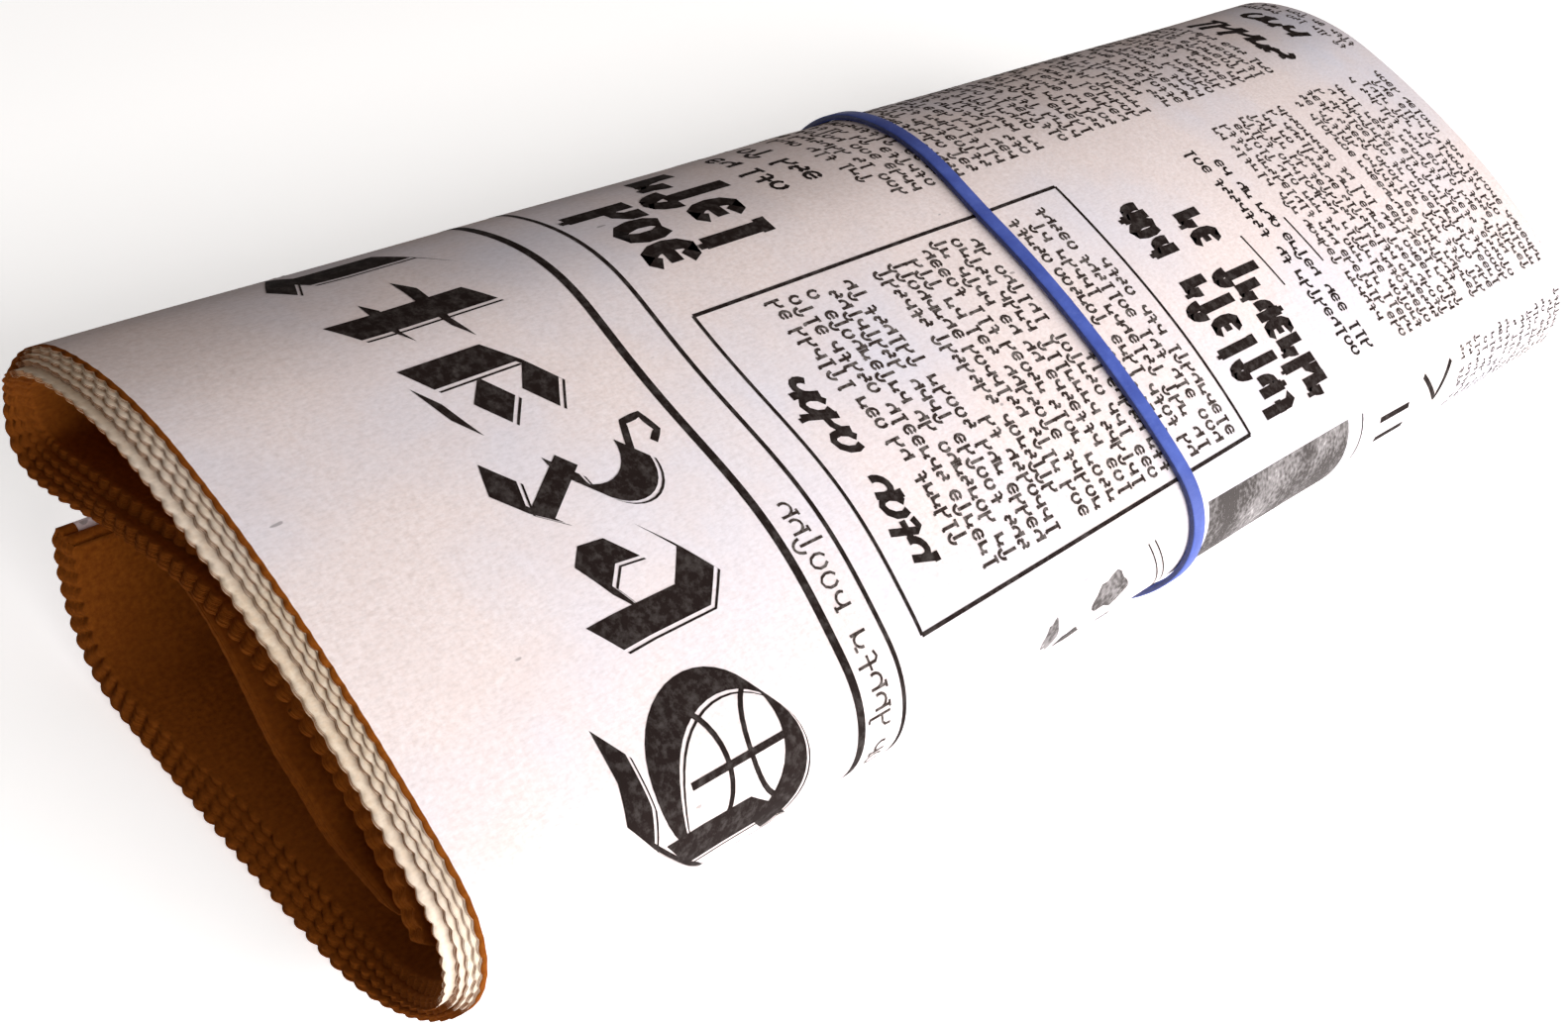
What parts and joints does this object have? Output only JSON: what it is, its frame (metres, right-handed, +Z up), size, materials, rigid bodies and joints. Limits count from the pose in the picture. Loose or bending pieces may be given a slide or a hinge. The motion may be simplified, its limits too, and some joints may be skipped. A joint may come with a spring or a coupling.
{
  "type": "rolled newspaper",
  "caption": "Folded broadsheet newspaper with serrated page edges, rolled up and held by a stretched rubber band.",
  "frame": {"origin": "under the middle of the roll, on the surface that it lies on", "axes": "+X runs along the roll from its open, serrated end to its folded end, +Z is up"},
  "size_m": [0.289, 0.102, 0.0528],
  "materials": {
    "newsprint": "matte uncoated newsprint, printed in black",
    "band_rubber": "satin blue rubber"
  },
  "bodies": {
    "newspaper": {"sheet_1": "newsprint", "sheet_2": "newsprint", "sheet_3": "newsprint", "sheet_4": "newsprint", "sheet_5": "newsprint", "sheet_6": "newsprint", "sheet_7": "newsprint", "sheet_8": "newsprint"},
    "rubber_band": {"rubber_band": "band_rubber"}
  },
  "joints": [
    {"name": "band_slide", "type": "slide", "parent": "newspaper", "child": "rubber_band", "axis": [1, 0, 0], "range_m": [-0.15, 0.148]}
  ]
}
